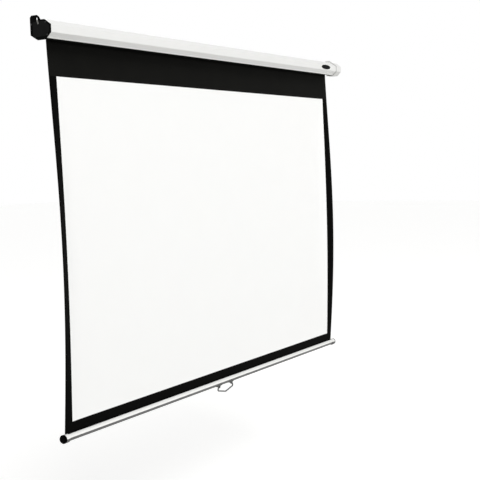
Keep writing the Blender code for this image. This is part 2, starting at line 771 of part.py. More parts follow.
def make_plug_right(parent, material):
    """The idler end's plug, with a bore that holds the bush."""
    inner = ROLLER_RADIUS - ROLLER_WALL - SEAT
    bore = SPINDLE_RADIUS + RUNNING + BUSH_WALL + SEAT
    profile = [
        (bore, PLUG_FLANGE),
        (ROLLER_RADIUS - SEAT, PLUG_FLANGE),
        (ROLLER_RADIUS - SEAT, 0),
        (inner, 0),
        (inner, -PLUG_SPIGOT),
        (bore, -PLUG_SPIGOT),
    ]
    spot = (PLUG_FACE - PLUG_FLANGE, 0, 0)
    return place("roller_plug_right", turned_mesh(profile, 32), material, spot, TURNED_X, parent)


def make_bush(parent, material):
    """A flanged bush that the idler end turns in."""
    bore = SPINDLE_RADIUS + RUNNING
    outer = bore + BUSH_WALL
    profile = [
        (bore, BUSH_FLANGE),
        (outer + BUSH_WALL, BUSH_FLANGE),
        (outer + BUSH_WALL, 0),
        (outer, 0),
        (outer, -BUSH_LENGTH),
        (bore, -BUSH_LENGTH),
    ]
    spot = (PLUG_FACE + SEAT, 0, 0)
    return place("idler_bush", turned_mesh(profile), material, spot, TURNED_X, parent)


def make_roller_tube(parent, material):
    outline = circle((0, 0), ROLLER_RADIUS, 40)
    bore = circle((0, 0), ROLLER_RADIUS - ROLLER_WALL, 40)
    mesh = prism_mesh([outline, bore], 2 * ROLLER_HALF)
    return place("roller_tube", mesh, material, (0, 0, 0), ALONG_X, parent)


def make_wound_cloth(parent, material):
    """The turns that stay on the roller when the screen is down, wound over its top."""
    steps = 24 * WOUND_TURNS
    middle = []
    for i in range(steps + 1):
        turned = 2 * math.pi * i / 24
        radius = WRAP_START + WRAP_PITCH * (WOUND_TURNS - i / 24)
        middle.append((radius * math.cos(turned), radius * math.sin(turned)))
    outline = offset(middle, CLOTH / 2) + offset(middle, -CLOTH / 2)[::-1]
    return place("wound_cloth", prism_mesh([outline], 2 * CLOTH_HALF), material, (0, 0, 0), ALONG_X, parent)


def anchor_place():
    """The X of the anchor's face that the spring ends on."""
    _, far = spindle_ends()
    return -far - ANCHOR_FROM_TIP - ANCHOR_LENGTH


def spring_points():
    """The spring's wire: a straight end, even turns, and a straight end, from the plug to the anchor."""
    start = -PLUG_FACE + PLUG_FLANGE + PLUG_SPIGOT + SEAT
    steps = 8
    lead = 2 * SPRING_WIRE
    pitch = (anchor_place() - SEAT - start - 2 * lead) / SPRING_TURNS
    points = [(start, SPRING_RADIUS, 0)]
    for i in range(SPRING_TURNS * steps + 1):
        turn = 2 * math.pi * i / steps
        x = start + lead + pitch * i / steps
        points.append((x, SPRING_RADIUS * math.cos(turn), SPRING_RADIUS * math.sin(turn)))
    points.append((points[-1][0] + lead, points[-1][1], points[-1][2]))
    return points


def least_gap(points, radius, apart):
    """The smallest gap between stretches of one wire that are at least so many points apart."""
    least = float("inf")
    for i, first in enumerate(points):
        for second in points[i + apart:]:
            least = min(least, math.dist(first, second) - 2 * radius)
    return least


def make_spring(material):
    points = spring_points()
    print(f"spring, least gap to itself: {1000 * least_gap(points, SPRING_WIRE, 5):.2f} mm")
    return place("torsion_spring", wire_mesh(points, SPRING_WIRE, 1), material, (0, ROLLER_Y, 0))


def make_anchor(material):
    """The collar fixed to the spindle's inner end, which holds the spring's still end."""
    bore = SPINDLE_RADIUS + SEAT
    profile = [(bore, ANCHOR_LENGTH), (ANCHOR_RADIUS, ANCHOR_LENGTH), (ANCHOR_RADIUS, 0), (bore, 0)]
    return place("spring_anchor", turned_mesh(profile), material, (anchor_place(), ROLLER_Y, 0), TURNED_X)


def make_idler_pin(material):
    """The fixed pin that carries the roller's free end, held in the right cap's boss."""
    tip = BOSS_END[1] + SPINDLE_TONGUE
    profile = [
        (0, 0),
        (SPINDLE_RADIUS, 0),
        (SPINDLE_RADIUS, -IDLER_LENGTH),
        (0, -IDLER_LENGTH),
    ]
    return place("idler_pin", turned_mesh(profile), material, (tip, ROLLER_Y, 0), TURNED_X)


def curl(x, z):
    """How far the cloth's side edges lean out into the room, at a place on the hanging sheet."""
    hang = (CASE_BOTTOM - z) / (CASE_BOTTOM - BAR_TOP)
    if hang <= 0 or hang >= 1:
        return 0.0
    inset = CLOTH_HALF - abs(x)
    share = max(0.0, 1 - inset / CURL_WIDTH)
    return CURL_DEPTH * share ** 2 * math.sin(math.pi * hang ** 1.15)


def make_cloth(material):
    """The hanging sheet, from the roller's back down to the rod in its hem."""
    edge = [CLOTH_HALF - CURL_WIDTH * i / 5 for i in range(6)]
    middle = [(CLOTH_HALF - CURL_WIDTH) * i / 3 for i in (2, 1)]
    half = edge + middle
    columns = [-x for x in half] + [0] + half[::-1]
    foot = HEM_Z + HEM_ROD + SEAT
    hang_rows = 20
    rows = [0, CASE_BOTTOM / 2]
    rows += [CASE_BOTTOM + (BAR_TOP - CASE_BOTTOM) * i / hang_rows for i in range(hang_rows + 1)]
    rows += [foot]
    work = bmesh.new()
    grid = [[work.verts.new((x, CLOTH_Y - curl(x, z), z)) for x in columns] for z in rows]
    for upper, lower in zip(grid, grid[1:]):
        for i in range(len(columns) - 1):
            work.faces.new((upper[i], lower[i], lower[i + 1], upper[i + 1]))
    bmesh.ops.triangulate(work, faces=work.faces)
    mesh = bpy.data.meshes.new("screen_cloth")
    work.to_mesh(mesh)
    work.free()
    mesh.shade_smooth()
    cloth = place("screen_cloth", mesh, material)
    thicken = cloth.modifiers.new("thickness", "SOLIDIFY")
    thicken.thickness = CLOTH
    thicken.offset = 0
    return cloth


def make_bar(parent, material):
    """The bar's tube, slit along its top for the cloth."""
    slit = math.asin(BAR_SLIT / 2 / BAR_RADIUS)
    inner = BAR_RADIUS - BAR_WALL
    inner_slit = math.asin(BAR_SLIT / 2 / inner)
    top = math.pi / 2
    outline = arc((0, 0), BAR_RADIUS, top + slit, top + 2 * math.pi - slit, 36)
    outline += arc((0, 0), inner, top + 2 * math.pi - inner_slit, top + inner_slit, 36)
    middle = ((BAR_END[1] - BAR_END[-1]) / 2, 0, 0)
    length = BAR_END[-1] + BAR_END[1]
    bar = place("weight_bar", prism_mesh([outline], length), material, middle, ALONG_X, parent)
    high, low = BAR_RADIUS * 1.2, inner * 0.8
    for side in (-1, 1):
        for way in (-1, 1):
            x, turn = rivet_place(side * PULL_SPREAD, way)
            hole = [(0, high), (RIVET_RADIUS + SEAT, high), (RIVET_RADIUS + SEAT, low), (0, low)]
            cut(bar, turned_mesh(hole, 12), (x, 0, 0), turn)
    return bar


def make_hem_rod(parent, material):
    outline = circle((0, 0), HEM_ROD, 16)
    spot = (0, 0, HEM_Z - BAR_Z)
    return place("hem_rod", prism_mesh([outline], 2 * CLOTH_HALF), material, spot, ALONG_X, parent)


def along_bar(side, near, far):
    """Low and high X of a stretch measured outwards from the end of the bar's tube."""
    return sorted((side * (BAR_END[side] + near), side * (BAR_END[side] + far)))


def make_bar_cap(name, side, parent, material):
    """A cap whose sleeve fits over the tube, slit for the cloth, with a spigot below the hem rod."""
    socket = BAR_RADIUS + SEAT
    bore = BAR_PLUG_STEM + SEAT
    floor = BAR_CAP_PLATE - BAR_PLUG_REACH
    profile = [
        (0, floor),
        (bore, floor),
        (bore, BAR_CAP_PLATE),
        (BAR_CAP_RADIUS - BAR_CAP_ROUND, BAR_CAP_PLATE),
        (BAR_CAP_RADIUS, BAR_CAP_PLATE - BAR_CAP_ROUND),
        (BAR_CAP_RADIUS, BAR_CAP_ROUND - BAR_CAP_SLEEVE),
        (BAR_CAP_RADIUS - BAR_CAP_ROUND, -BAR_CAP_SLEEVE),
        (socket, -BAR_CAP_SLEEVE),
        (socket, 0),
        (0, 0),
    ]
    turn = TURNED_X if side > 0 else (0, -math.pi / 2, 0)
    spot = (side * (BAR_END[side] + SEAT), 0, 0)
    cap = place(name, turned_mesh(profile, 32), material, spot, turn, parent)
    inner = BAR_RADIUS - BAR_WALL - SEAT
    relief = math.asin((HEM_Z - BAR_Z - HEM_ROD - SEAT) / inner)
    x_low, x_high = along_bar(side, -BAR_CAP_SPIGOT, SEAT + floor / 2)
    spigot = arc((0, 0), inner, math.pi - relief, 2 * math.pi + relief, 20)
    join(cap, prism_mesh([spigot], x_high - x_low), ((x_low + x_high) / 2, 0, 0), ALONG_X)
    x_low, x_high = along_bar(side, -BAR_CAP_SLEEVE * 1.2, 0)
    cut(cap, block_mesh((x_low, -BAR_SLIT / 2, inner), (x_high, BAR_SLIT / 2, BAR_CAP_RADIUS * 1.2)))
    return cap


def make_bar_plug(name, side, parent, material):
    """A flat round plug whose stem is pressed into the bar's cap."""
    rim = BAR_CAP_ROUND
    profile = [
        (0, BAR_PLUG_THICKNESS),
        (BAR_PLUG_RADIUS - rim, BAR_PLUG_THICKNESS),
        (BAR_PLUG_RADIUS, BAR_PLUG_THICKNESS - rim),
        (BAR_PLUG_RADIUS, 0),
        (BAR_PLUG_STEM, 0),
        (BAR_PLUG_STEM, -BAR_PLUG_REACH),
        (0, -BAR_PLUG_REACH),
    ]
    turn = TURNED_X if side > 0 else (0, -math.pi / 2, 0)
    spot = (side * (BAR_END[side] + SEAT + BAR_CAP_PLATE + SEAT), 0, 0)
    return place(name, turned_mesh(profile, 32), material, spot, turn, parent)


def make_lug(name, side, parent, material):
    """A saddle on the bar's lower front, with a tab whose hole takes the pull's wire."""
    down = -math.pi / 2 - LUG_ANGLE
    inner = BAR_RADIUS + SEAT
    outer = inner + LUG_SADDLE
    saddle = arc((0, 0), inner, down - LUG_SPREAD, down + LUG_SPREAD, 8)
    saddle += arc((0, 0), outer, down + LUG_SPREAD, down - LUG_SPREAD, 8)
    x_middle = side * PULL_SPREAD
    lug = place(name, prism_mesh([saddle], LUG_LENGTH), material, (x_middle, 0, 0), ALONG_X, parent)
    eye = PULL_WIRE + RUNNING + LUG_EDGE
    out = Vector((math.cos(down), math.sin(down)))
    wide = Vector((-out.y, out.x))
    root = out * (inner + LUG_SADDLE / 2)
    centre = out * PULL_RADIUS
    tab = [tuple(root - wide * eye), tuple(root + wide * eye)]
    tab += arc(centre, eye, down + math.pi / 2, down - math.pi / 2, 10)
    join(lug, prism_mesh([tab], LUG_TAB), (x_middle, 0, 0), ALONG_X)
    hole = circle(centre, PULL_WIRE + RUNNING, 16)
    cut(lug, prism_mesh([hole], 3 * LUG_TAB), (x_middle, 0, 0), ALONG_X)
    for way in (-1, 1):
        spot, turn = rivet_place(x_middle, way)
        high, low = outer * 1.2, inner * 0.8
        bore = [(0, high), (RIVET_RADIUS + SEAT, high), (RIVET_RADIUS + SEAT, low), (0, low)]
        cut(lug, turned_mesh(bore, 12), (spot, 0, 0), turn)
    return lug


def rivet_place(x_middle, way):
    """A rivet's X, and the turn that points its head out of the bar along the lug's angle."""
    return x_middle + way * LUG_LENGTH * 0.38, (math.pi - LUG_ANGLE, 0, 0)


def make_rivet(name, side, way, parent, material):
    """A dome-headed rivet through the lug's saddle into the bar's wall."""
    base = BAR_RADIUS + SEAT + LUG_SADDLE + SEAT
    profile = [(0, base + RIVET_HEAD * 0.5)]
    for i in range(1, 4):
        turn = math.pi / 2 * (1 - i / 3)
        profile.append((RIVET_HEAD * math.cos(turn), base + RIVET_HEAD * 0.5 * math.sin(turn)))
    foot = BAR_RADIUS - BAR_WALL - RIVET_RADIUS
    profile += [(RIVET_RADIUS, base), (RIVET_RADIUS, foot), (0, foot)]
    x, turn = rivet_place(side * PULL_SPREAD, way)
    return place(name, turned_mesh(profile, 12), material, (x, 0, 0), turn, parent)


def pull_points():
    """One half of the pull's wire, from its free end in the lug to the low point in the middle."""
    corner = (PULL_CORNER, -PULL_SHOULDER)
    elbow = PULL_SPREAD + LUG_TAB / 2 + PULL_WIRE + RUNNING + 0.0006
    line = [(PULL_SPREAD - PULL_END, 0), (elbow, 0), corner, (0, -PULL_DROP)]
    return rounded(line, PULL_BEND, closed=False, steps=4)


def make_pull(parent, material):
    """The wire pull, hanging. Its origin is on the axis through both lugs."""
    half = pull_points()
    points = [(-x, 0, z) for x, z in half] + [(x, 0, z) for x, z in half[-2::-1]]
    return place("pull_handle", wire_mesh(points, PULL_WIRE), material, (0, 0, 0), (0, 0, 0), parent)


def main():
    white_coat = new_material("white_powder_coat", (0.86, 0.86, 0.84), 0.38)
    black_plastic = new_material("black_plastic", (0.012, 0.012, 0.012), 0.45)
    grey_plastic = new_material("pale_grey_plastic", (0.66, 0.67, 0.66), 0.42)
    natural_nylon = new_material("natural_nylon", (0.62, 0.58, 0.50), 0.5)
    bright_steel = new_material("bright_steel", (0.60, 0.60, 0.58), 0.30, 1.0)
    spring_steel = new_material("spring_steel", (0.16, 0.15, 0.14), 0.38, 1.0)
    grey_steel = new_material("grey_coated_steel", (0.10, 0.10, 0.10), 0.42, 0.6)
    aluminium = new_material("satin_aluminium", (0.72, 0.72, 0.70), 0.32, 1.0)
    cloth = new_material("screen_cloth", (0.9, 0.9, 0.9), 0.9)

    make_case(white_coat)
    right_proud = SEAT + SLEEVE_WALL
    make_end_cap("end_cap_left", -1, 0, CASE_BOTTOM, "slot", black_plastic)
    make_end_cap("end_cap_right", 1, right_proud, SHELL_BOTTOM, "bore", grey_plastic)
    make_liner("eyelet_liner_left", -1, 0, bright_steel)
    make_liner("eyelet_liner_right", 1, right_proud, bright_steel)
    for word, side, metal in (("left", -1, grey_steel), ("right", 1, bright_steel)):
        for letter, centre in zip("abc", port_places()):
            make_screw(f"cap_screw_{word}_{letter}", side, centre, metal)
    make_spindle(bright_steel)
    make_ratchet(bright_steel)
    make_spring(spring_steel)
    make_anchor(natural_nylon)
    make_idler_pin(bright_steel)

    roller = empty("roller_axis", (0, ROLLER_Y, 0))
    make_roller_tube(roller, bright_steel)
    make_plug_left(roller, natural_nylon)
    make_plug_right(roller, natural_nylon)
    make_bush(roller, natural_nylon)
    make_wound_cloth(roller, cloth)
    for letter, start in (("a", 0), ("b", math.pi)):
        make_pawl_pin(f"pawl_pin_{letter}", start, roller, bright_steel)
        make_pawl(f"pawl_{letter}", start, roller, bright_steel)

    make_cloth(cloth)
    bar = empty("bar_centre", (0, CLOTH_Y, BAR_Z))
    make_bar(bar, aluminium)
    make_hem_rod(bar, grey_plastic)
    for word, side in (("left", -1), ("right", 1)):
        make_bar_cap(f"bar_cap_{word}", side, bar, grey_plastic)
        make_bar_plug(f"bar_plug_{word}", side, bar, black_plastic)
        make_lug(f"pull_lug_{word}", side, bar, grey_steel)
        for letter, way in (("a", -1), ("b", 1)):
            make_rivet(f"lug_rivet_{word}_{letter}", side, way, bar, grey_steel)
    pull = empty("pull_axis", (0, PULL_Y, PULL_Z))
    make_pull(pull, grey_steel)

    print(f"bar travel {1000 * DROP_TRAVEL:.1f} mm, bar centre at rest {1000 * BAR_Z:.1f} mm")


clear_scene()
PARTS = new_collection("pull_down_screen")
CUTTERS = new_collection("cutters")
main()
bpy.context.view_layer.update()
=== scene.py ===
import json
import math
import bmesh
import bpy
from mathutils import Matrix, Vector


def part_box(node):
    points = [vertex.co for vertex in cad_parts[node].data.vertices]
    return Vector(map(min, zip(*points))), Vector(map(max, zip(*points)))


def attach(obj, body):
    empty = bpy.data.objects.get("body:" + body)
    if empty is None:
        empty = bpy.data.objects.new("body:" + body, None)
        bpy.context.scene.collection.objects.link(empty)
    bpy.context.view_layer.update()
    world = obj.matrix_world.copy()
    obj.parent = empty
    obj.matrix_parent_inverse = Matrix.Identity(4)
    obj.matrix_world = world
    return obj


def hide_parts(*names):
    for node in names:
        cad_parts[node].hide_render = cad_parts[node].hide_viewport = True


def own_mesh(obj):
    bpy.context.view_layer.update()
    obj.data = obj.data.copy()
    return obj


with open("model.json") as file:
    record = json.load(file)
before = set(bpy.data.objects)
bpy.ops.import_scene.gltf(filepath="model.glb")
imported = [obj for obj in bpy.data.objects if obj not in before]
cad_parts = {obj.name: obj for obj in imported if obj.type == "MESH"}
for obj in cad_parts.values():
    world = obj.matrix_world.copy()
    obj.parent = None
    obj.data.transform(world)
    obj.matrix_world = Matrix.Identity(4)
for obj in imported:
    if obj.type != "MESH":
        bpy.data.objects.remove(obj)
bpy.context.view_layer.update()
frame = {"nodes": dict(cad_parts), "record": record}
nodes = frame["nodes"]
mm = 0.001      # lengths are in metres, and small ones are written in millimetres with this
print("frame loaded:", len(nodes), "CAD nodes")


def hexColour(code):
    # sRGB hex to the linear colour that a shader socket takes
    values = [int(code[i:i + 2], 16) / 255 for i in (1, 3, 5)]
    return [v / 12.92 if v <= 0.04045 else ((v + 0.055) / 1.055) ** 2.4 for v in values] + [1.0]


def addNode(tree, kind, inputs=None, **settings):
    node = tree.nodes.new(kind)
    for name, value in settings.items():
        setattr(node, name, value)
    for key, value in (inputs or {}).items():
        if isinstance(value, bpy.types.NodeSocket):
            tree.links.new(value, node.inputs[key])
        else:
            node.inputs[key].default_value = value
    return node


def startMaterial(name, look):
    # a Principled surface whose plain sockets come straight from the look dictionary
    material = bpy.data.materials.new(name)
    material.use_nodes = True
    tree = material.node_tree
    shader = tree.nodes["Principled BSDF"]
    for key, value in look.items():
        if key in shader.inputs:
            shader.inputs[key].default_value = value
    return material, tree, shader


def feed(tree, shader, sockets):
    # what varies over the surface is linked to the shader's own sockets
    for key, value in sockets.items():
        tree.links.new(value, shader.inputs[key])


def dress(nodeName, material):
    mesh = nodes[nodeName].data
    mesh.materials.clear()
    mesh.materials.append(material)


def finishPiece(piece, body):
    bpy.context.scene.collection.objects.link(piece)
    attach(piece, body)
    return piece


# the camera stands where the photograph was taken from
viewFinder = {
    "place": (-3.2299, -2.2144, -0.4343),
    "right": (0.54231, -0.83966, -0.02953),
    "up": (0.09731, 0.02786, 0.99486),
    "ahead": (0.83452, 0.54240, -0.09681),
    "lens": 72.54,      # mm, for the sensor below
    "sensor": 36,
    "rise": 0.0381,     # the picture was cropped a little above the lens axis
    "near": 0.05,
    "far": 100,
}


def setCamera():
    eye = bpy.data.cameras.new("photoView")
    eye.lens = viewFinder["lens"]
    eye.sensor_width = viewFinder["sensor"]
    eye.shift_y = viewFinder["rise"]
    eye.clip_start = viewFinder["near"]
    eye.clip_end = viewFinder["far"]
    holder = bpy.data.objects.new("photoView", eye)
    columns = [Vector(viewFinder["right"]), Vector(viewFinder["up"]), -Vector(viewFinder["ahead"])]
    turn = Matrix([[column[row] for column in columns] for row in range(3)])
    holder.matrix_world = Matrix.Translation(viewFinder["place"]) @ turn.normalized().to_4x4()
    bpy.context.scene.collection.objects.link(holder)
    bpy.context.scene.camera = holder


setCamera()
print("camera set")


def caseFacets():
    # the case's section as (normal Y, normal Z, distance): top, bottom, then the front and leaning facets
    points = [v.co for v in nodes["case_shell"].data.vertices]
    low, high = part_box("case_shell")
    near = 0.5 * mm     # points this close to a side of the case's box lie on that side
    frontZ = [p.z for p in points if p.y < low[1] + near]
    topY = min(p.y for p in points if p.z > high[2] - near)
    footY = min(p.y for p in points if p.z < low[2] + near)
    corners = [(topY, high[2]), (low[1], max(frontZ)), (low[1], min(frontZ)), (footY, low[2])]
    facets = [(0.0, 1.0, high[2]), (0.0, -1.0, -low[2])]
    for (y1, z1), (y2, z2) in zip(corners, corners[1:]):
        long = math.hypot(y2 - y1, z2 - z1)
        ny = (z2 - z1) / long
        nz = (y1 - y2) / long
        facets.append((ny, nz, ny * y1 + nz * z1))
    return facets


def outsideOf(tree, where, facets):
    # how far a point lies outside the nearest of some facets, negative within them all
    furthest = None
    for ny, nz, distance in facets:
        along = addNode(tree, "ShaderNodeVectorMath", {0: where, 1: (0.0, ny, nz)}, operation="DOT_PRODUCT")
        past = addNode(tree, "ShaderNodeMath", {0: along.outputs["Value"], 1: distance}, operation="SUBTRACT")
        if furthest:
            past = addNode(tree, "ShaderNodeMath", {0: furthest.outputs["Value"], 1: past.outputs["Value"]},
                           operation="MAXIMUM")
        furthest = past
    return furthest.outputs["Value"]


caseCoat = {
    "IOR": 1.5,
    "Coat Weight": 0.12,
    "Coat Roughness": 0.2,
    "toneLow": "#E4E4E2",
    "toneHigh": "#E8E8E6",
    "roughLow": 0.31,
    "roughHigh": 0.43,
    "handled": 160 * mm,            # slow unevenness of tone and sheen
    "peel": 1.2 * mm,               # the coat's orange peel
    "peelDeep": 0.02 * mm,
    "peelStrength": 0.8,
    "dieLine": 3.5 * mm,            # between faint extrusion lines
    "dieLineLong": 1667 * mm,
    "dieLineDeep": 0.012 * mm,
    "dieLineStrength": 0.5,
    "lipTone": "#F7F7F5",           # painted highlight: the lowest few millimetres of the lower lip are coloured lighter
    "lipTall": 4 * mm,
    "lipBlend": 1 * mm,
    "bareTone": "#4C4C4A",          # painted shade: the inside and the underside are coloured dark grey
    "bareFrom": 0.6 * mm,           # under the outer faces, well within the wall
    "bareBlend": 0.1 * mm,
}


def powderCoatOverExtrusion():
    # baked powder over extruded aluminium: a soft even gloss, a fine peel, and faint lines along the length
    coat = caseCoat
    material, tree, shader = startMaterial("whitePowderCoatOnExtrudedAluminium", coat)
    where = addNode(tree, "ShaderNodeTexCoord").outputs["Object"]
    peel = addNode(tree, "ShaderNodeTexNoise", {"Vector": where, "Scale": 1 / coat["peel"], "Detail": 2.0})
    stretched = addNode(tree, "ShaderNodeMapping", {
        "Vector": where, "Scale": (1 / coat["dieLineLong"], 1 / coat["dieLine"], 1 / coat["dieLine"])})
    lines = addNode(tree, "ShaderNodeTexNoise", {
        "Vector": stretched.outputs["Vector"], "Scale": 1.0, "Detail": 1.0})
    peelBump = addNode(tree, "ShaderNodeBump", {
        "Height": peel.outputs["Fac"], "Distance": coat["peelDeep"], "Strength": coat["peelStrength"]})
    lineBump = addNode(tree, "ShaderNodeBump", {
        "Height": lines.outputs["Fac"], "Distance": coat["dieLineDeep"], "Strength": coat["dieLineStrength"],
        "Normal": peelBump.outputs["Normal"]})
    slow = addNode(tree, "ShaderNodeTexNoise", {"Vector": where, "Scale": 1 / coat["handled"], "Detail": 3.0})
    sheen = addNode(tree, "ShaderNodeMapRange", {
        "Value": slow.outputs["Fac"], "To Min": coat["roughLow"], "To Max": coat["roughHigh"]})
    tone = addNode(tree, "ShaderNodeMix", {
        "Factor": slow.outputs["Fac"], "A": hexColour(coat["toneLow"]), "B": hexColour(coat["toneHigh"])},
        data_type="RGBA")
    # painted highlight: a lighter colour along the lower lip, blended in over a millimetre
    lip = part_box("case_shell")[0][2] + coat["lipTall"]
    height = addNode(tree, "ShaderNodeSeparateXYZ", {"Vector": where}).outputs["Z"]
    lipLit = addNode(tree, "ShaderNodeMapRange", {
        "Value": height, "From Min": lip + coat["lipBlend"], "From Max": lip - coat["lipBlend"]})
    withLipHighlight = addNode(tree, "ShaderNodeMix", {
        "Factor": lipLit.outputs["Result"], "A": tone.outputs["Result"], "B": hexColour(coat["lipTone"])},
        data_type="RGBA")
    # painted shade covers the underside and the inside; the back and every other facet keep the coat's colour
    shown = [facet for facet in caseFacets() if facet[1] > -1] + [(1.0, 0.0, 0.0)]
    inUndersideShade = addNode(tree, "ShaderNodeMapRange", {
        "Value": outsideOf(tree, where, shown), "From Min": coat["bareBlend"] - coat["bareFrom"],
        "From Max": -coat["bareBlend"] - coat["bareFrom"]})
    coated = addNode(tree, "ShaderNodeMix", {
        "Factor": inUndersideShade.outputs["Result"], "A": withLipHighlight.outputs["Result"], "B": hexColour(coat["bareTone"])},
        data_type="RGBA")
    feed(tree, shader, {"Base Color": coated.outputs["Result"], "Roughness": sheen.outputs["Result"],
                        "Normal": lineBump.outputs["Normal"]})
    return material


# what the mould leaves on every plastic piece
moulding = {
    "grainDeep": 0.04 * mm,
    "grainStrength": 0.55,
    "flow": 18.18 * mm,         # slow marks of the melt's flow in tone and sheen
    "flowRough": 0.06,          # roughness either way
}
absPlastic = {"IOR": 1.54, "grain": 0.9 * mm}       # drawn coarser than the real 0.2 mm so that it shows
blackCap = absPlastic | {"Roughness": 0.5, "Specular IOR Level": 0.015, "low": "#060606", "high": "#0A0A0A"}
plugBlack = absPlastic | {"Roughness": 0.6, "Specular IOR Level": 0.015, "low": "#020202", "high": "#050505"}
greyCap = absPlastic | {"Roughness": 0.42, "Specular IOR Level": 0.3, "low": "#E1E1DF", "high": "#E8E8E6"}
nylonPlug = {
    "IOR": 1.53,
    "Roughness": 0.48,
    "Subsurface Weight": 0.08,      # bare nylon lets a little light in, which softens its edges
    "Subsurface Scale": 4 * mm,
    "grain": 1.6 * mm,
    "low": "#D8D1BF",
    "high": "#E4DFD0",
}


def mouldedPlastic(name, look):
    # injection-moulded in a spark-eroded tool: fine even grain that scatters the highlight
    material, tree, shader = startMaterial(name, look)
    where = addNode(tree, "ShaderNodeTexCoord").outputs["Object"]
    grain = addNode(tree, "ShaderNodeTexVoronoi", {"Vector": where, "Scale": 1 / look["grain"]},
                    feature="SMOOTH_F1")
    flow = addNode(tree, "ShaderNodeTexNoise", {
        "Vector": where, "Scale": 1 / moulding["flow"], "Detail": 4.0})
    bump = addNode(tree, "ShaderNodeBump", {
        "Height": grain.outputs["Distance"], "Distance": moulding["grainDeep"],
        "Strength": moulding["grainStrength"]})
    tone = addNode(tree, "ShaderNodeMix", {
        "Factor": flow.outputs["Fac"], "A": hexColour(look["low"]), "B": hexColour(look["high"])},
        data_type="RGBA")
    rough = addNode(tree, "ShaderNodeMapRange", {
        "Value": flow.outputs["Fac"], "To Min": look["Roughness"] - moulding["flowRough"],
        "To Max": look["Roughness"] + moulding["flowRough"]})
    feed(tree, shader, {"Base Color": tone.outputs["Result"], "Roughness": rough.outputs["Result"],
                        "Normal": bump.outputs["Normal"]})
    return material


def reopen(material):
    # a finished material's tree and shader, its colour so far, and the place on the piece
    tree = material.node_tree
    shader = tree.nodes["Principled BSDF"]
    plain = shader.inputs["Base Color"].links[0].from_socket
    where = addNode(tree, "ShaderNodeTexCoord").outputs["Object"]
    return tree, shader, plain, where


# on the left cap, painted shade keeps the rim and a band next to the wall darker; the lighter face lies
# inside the rim and ends short of the wall
capRimShade = {"rim": 5.5 * mm, "fromWall": 11.5 * mm, "blend": 0.4 * mm, "low": "#171717", "high": "#1F1F1F"}


def paintCapRimShade(material):
    # painted shade: the rim stays darker, so the face inside it is a shade lighter
    tree, shader, plain, where = reopen(material)
    flow = plain.node.inputs["Factor"].links[0].from_socket
    inset = [(ny, nz, distance - capRimShade["rim"]) for ny, nz, distance in caseFacets()]
    inset.append((1.0, 0.0, -capRimShade["fromWall"]))
    inside = addNode(tree, "ShaderNodeMapRange", {
        "Value": outsideOf(tree, where, inset), "From Min": -capRimShade["blend"], "From Max": capRimShade["blend"],
        "To Min": 1.0, "To Max": 0.0})
    face = addNode(tree, "ShaderNodeMix", {
        "Factor": flow, "A": hexColour(capRimShade["low"]), "B": hexColour(capRimShade["high"])}, data_type="RGBA")
    tone = addNode(tree, "ShaderNodeMix", {
        "Factor": inside.outputs["Result"], "A": plain, "B": face.outputs["Result"]}, data_type="RGBA")
    feed(tree, shader, {"Base Color": tone.outputs["Result"]})
    return material


sleeveShadowLine = {"wide": 1.6 * mm, "shade": "#8C8C8A"}      # a painted shadow line where the right cap's sleeve starts on the case


def paintSleeveShadow(material):
    # painted shadow: a grey line where the sleeve starts, as the shade in the joint
    tree, shader, plain, where = reopen(material)
    along = addNode(tree, "ShaderNodeSeparateXYZ", {"Vector": where}).outputs["X"]
    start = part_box("end_cap_right")[0][0]
    inside = addNode(tree, "ShaderNodeMapRange", {
        "Value": along, "From Min": start, "From Max": start + sleeveShadowLine["wide"]})
    tone = addNode(tree, "ShaderNodeMix", {
        "Factor": inside.outputs["Result"], "A": hexColour(sleeveShadowLine["shade"]), "B": plain},
        data_type="RGBA")
    feed(tree, shader, {"Base Color": tone.outputs["Result"]})
    return material


# what plating, oil or a paint dip leaves on every steel piece
plating = {
    "cloud": 8.333 * mm,        # patches in tone and sheen
    "smoother": 0.08,           # roughness less in one patch
    "duller": 0.1,              # and more in the next
    "markDeep": 0.02 * mm,
    "markStrength": 0.5,
}
bareMetal = {"Metallic": 1.0}
zincSteel = bareMetal | {"Roughness": 0.32, "low": "#BDBDB6", "high": "#D6D4CC", "mark": 1.111 * mm,
                         "drawn": 30}       # times that a drawing mark is longer than it is wide
linerSteel = bareMetal | {"Roughness": 0.55, "low": "#6A6A67", "high": "#82827E", "mark": 3.333 * mm}
springWire = bareMetal | {"Roughness": 0.36, "low": "#58544E", "high": "#7A756D", "mark": 2.5 * mm}
badgeRim = bareMetal | {"Roughness": 0.22, "low": "#CFCFCB", "high": "#E2E2DE", "mark": 5 * mm}
# black oxide and grey paint hide the metal, so these two aren't metallic
oxideSteel = {"Roughness": 0.45, "low": "#181818", "high": "#222222", "mark": 4 * mm}
dippedSteel = {"Roughness": 0.4, "low": "#525353", "high": "#646565", "mark": 4 * mm}


